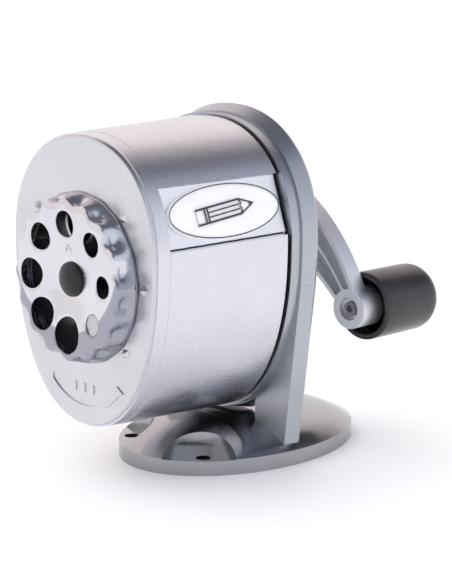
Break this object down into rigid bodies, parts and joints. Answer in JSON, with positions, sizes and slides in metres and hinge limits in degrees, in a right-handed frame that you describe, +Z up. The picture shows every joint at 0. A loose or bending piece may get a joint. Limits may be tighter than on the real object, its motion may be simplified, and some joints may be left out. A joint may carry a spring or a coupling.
{
  "type": "crank pencil sharpener",
  "caption": "Manual crank pencil sharpener on an oval screw-down base, with a size dial, an egg-shaped shavings receptacle and planetary helical cutters.",
  "frame": {"origin": "centre of the oval base's flat underside", "axes": "+Z up; -Y towards the pencil port and the size dial; +Y towards the crank"},
  "size_m": [0.081, 0.1196, 0.111],
  "materials": {
    "cast_metal": "satin plated die casting",
    "shell_metal": "satin plated sheet",
    "plate_metal": "satin painted plate",
    "dial_metal": "satin chrome",
    "label": "white enamel",
    "black_plastic": "moulded",
    "tool_steel": "ground and hardened",
    "plain_steel": "zinc plated",
    "bronze": "sintered bronze"
  },
  "bodies": {
    "frame": {"base": "cast_metal", "stand": "cast_metal", "mounting_ring": "cast_metal", "gear_cage": "plain_steel", "ring_gear": "tool_steel", "shaft_bushing": "bronze", "base_screws": "plain_steel", "cage_screws": "plain_steel"},
    "crank": {"crank_shaft": "tool_steel", "thrust_washer": "plain_steel", "cutter_carrier": "cast_metal", "cutter_pins": "tool_steel", "crank_arm": "cast_metal", "crank_screw": "plain_steel", "knob_pin": "plain_steel", "knob_washer": "plain_steel"},
    "knob": {"crank_knob": "black_plastic"},
    "cutter_one": {"cutter_1": "tool_steel", "cutter_gear_1": "tool_steel"},
    "cutter_two": {"cutter_2": "tool_steel", "cutter_gear_2": "tool_steel"},
    "catch": {"retaining_spring": "plain_steel"},
    "receptacle": {"receptacle_shell": "shell_metal", "front_ring": "shell_metal", "front_plate": "plate_metal", "label_plate": "plate_metal", "label_badge": "label", "dial_seat": "black_plastic", "pencil_guide": "plain_steel", "detent_spring": "plain_steel", "dial_rivet": "plain_steel"},
    "dial": {"selector_dial": "dial_metal", "dial_cap": "black_plastic"}
  },
  "joints": [
    {"name": "crank_turn", "type": "hinge", "parent": "frame", "child": "crank", "pos_m": [0, 0, 0.0785], "axis": [0, 1, 0], "continuous": true},
    {"name": "knob_spin", "type": "hinge", "parent": "crank", "child": "knob", "pos_m": [0.0337, 0.03, 0.0464], "axis": [0, 1, 0], "continuous": true},
    {"name": "cutter_one_spin", "type": "hinge", "parent": "crank", "child": "cutter_one", "pos_m": [0, 0.0085, 0.0785], "axis": [0, -0.9816, 0.1908], "continuous": true},
    {"name": "cutter_two_spin", "type": "hinge", "parent": "crank", "child": "cutter_two", "pos_m": [0, 0.0085, 0.0785], "axis": [0, -0.9816, -0.1908], "continuous": true},
    {"name": "receptacle_twist", "type": "hinge", "parent": "frame", "child": "catch", "pos_m": [0, 0, 0.0785], "axis": [0, -1, 0], "range_deg": [-12, 12]},
    {"name": "receptacle_pull", "type": "slide", "parent": "catch", "child": "receptacle", "axis": [0, -1, 0], "range_m": [0, 0.06]},
    {"name": "dial_turn", "type": "hinge", "parent": "receptacle", "child": "dial", "pos_m": [0, -0.066, 0.0623], "axis": [0, -1, 0], "continuous": true}
  ],
  "couplings": [
    {"joint": "cutter_one_spin", "follows": "crank_turn", "ratio": 3.3333},
    {"joint": "cutter_two_spin", "follows": "crank_turn", "ratio": 3.3333}
  ]
}
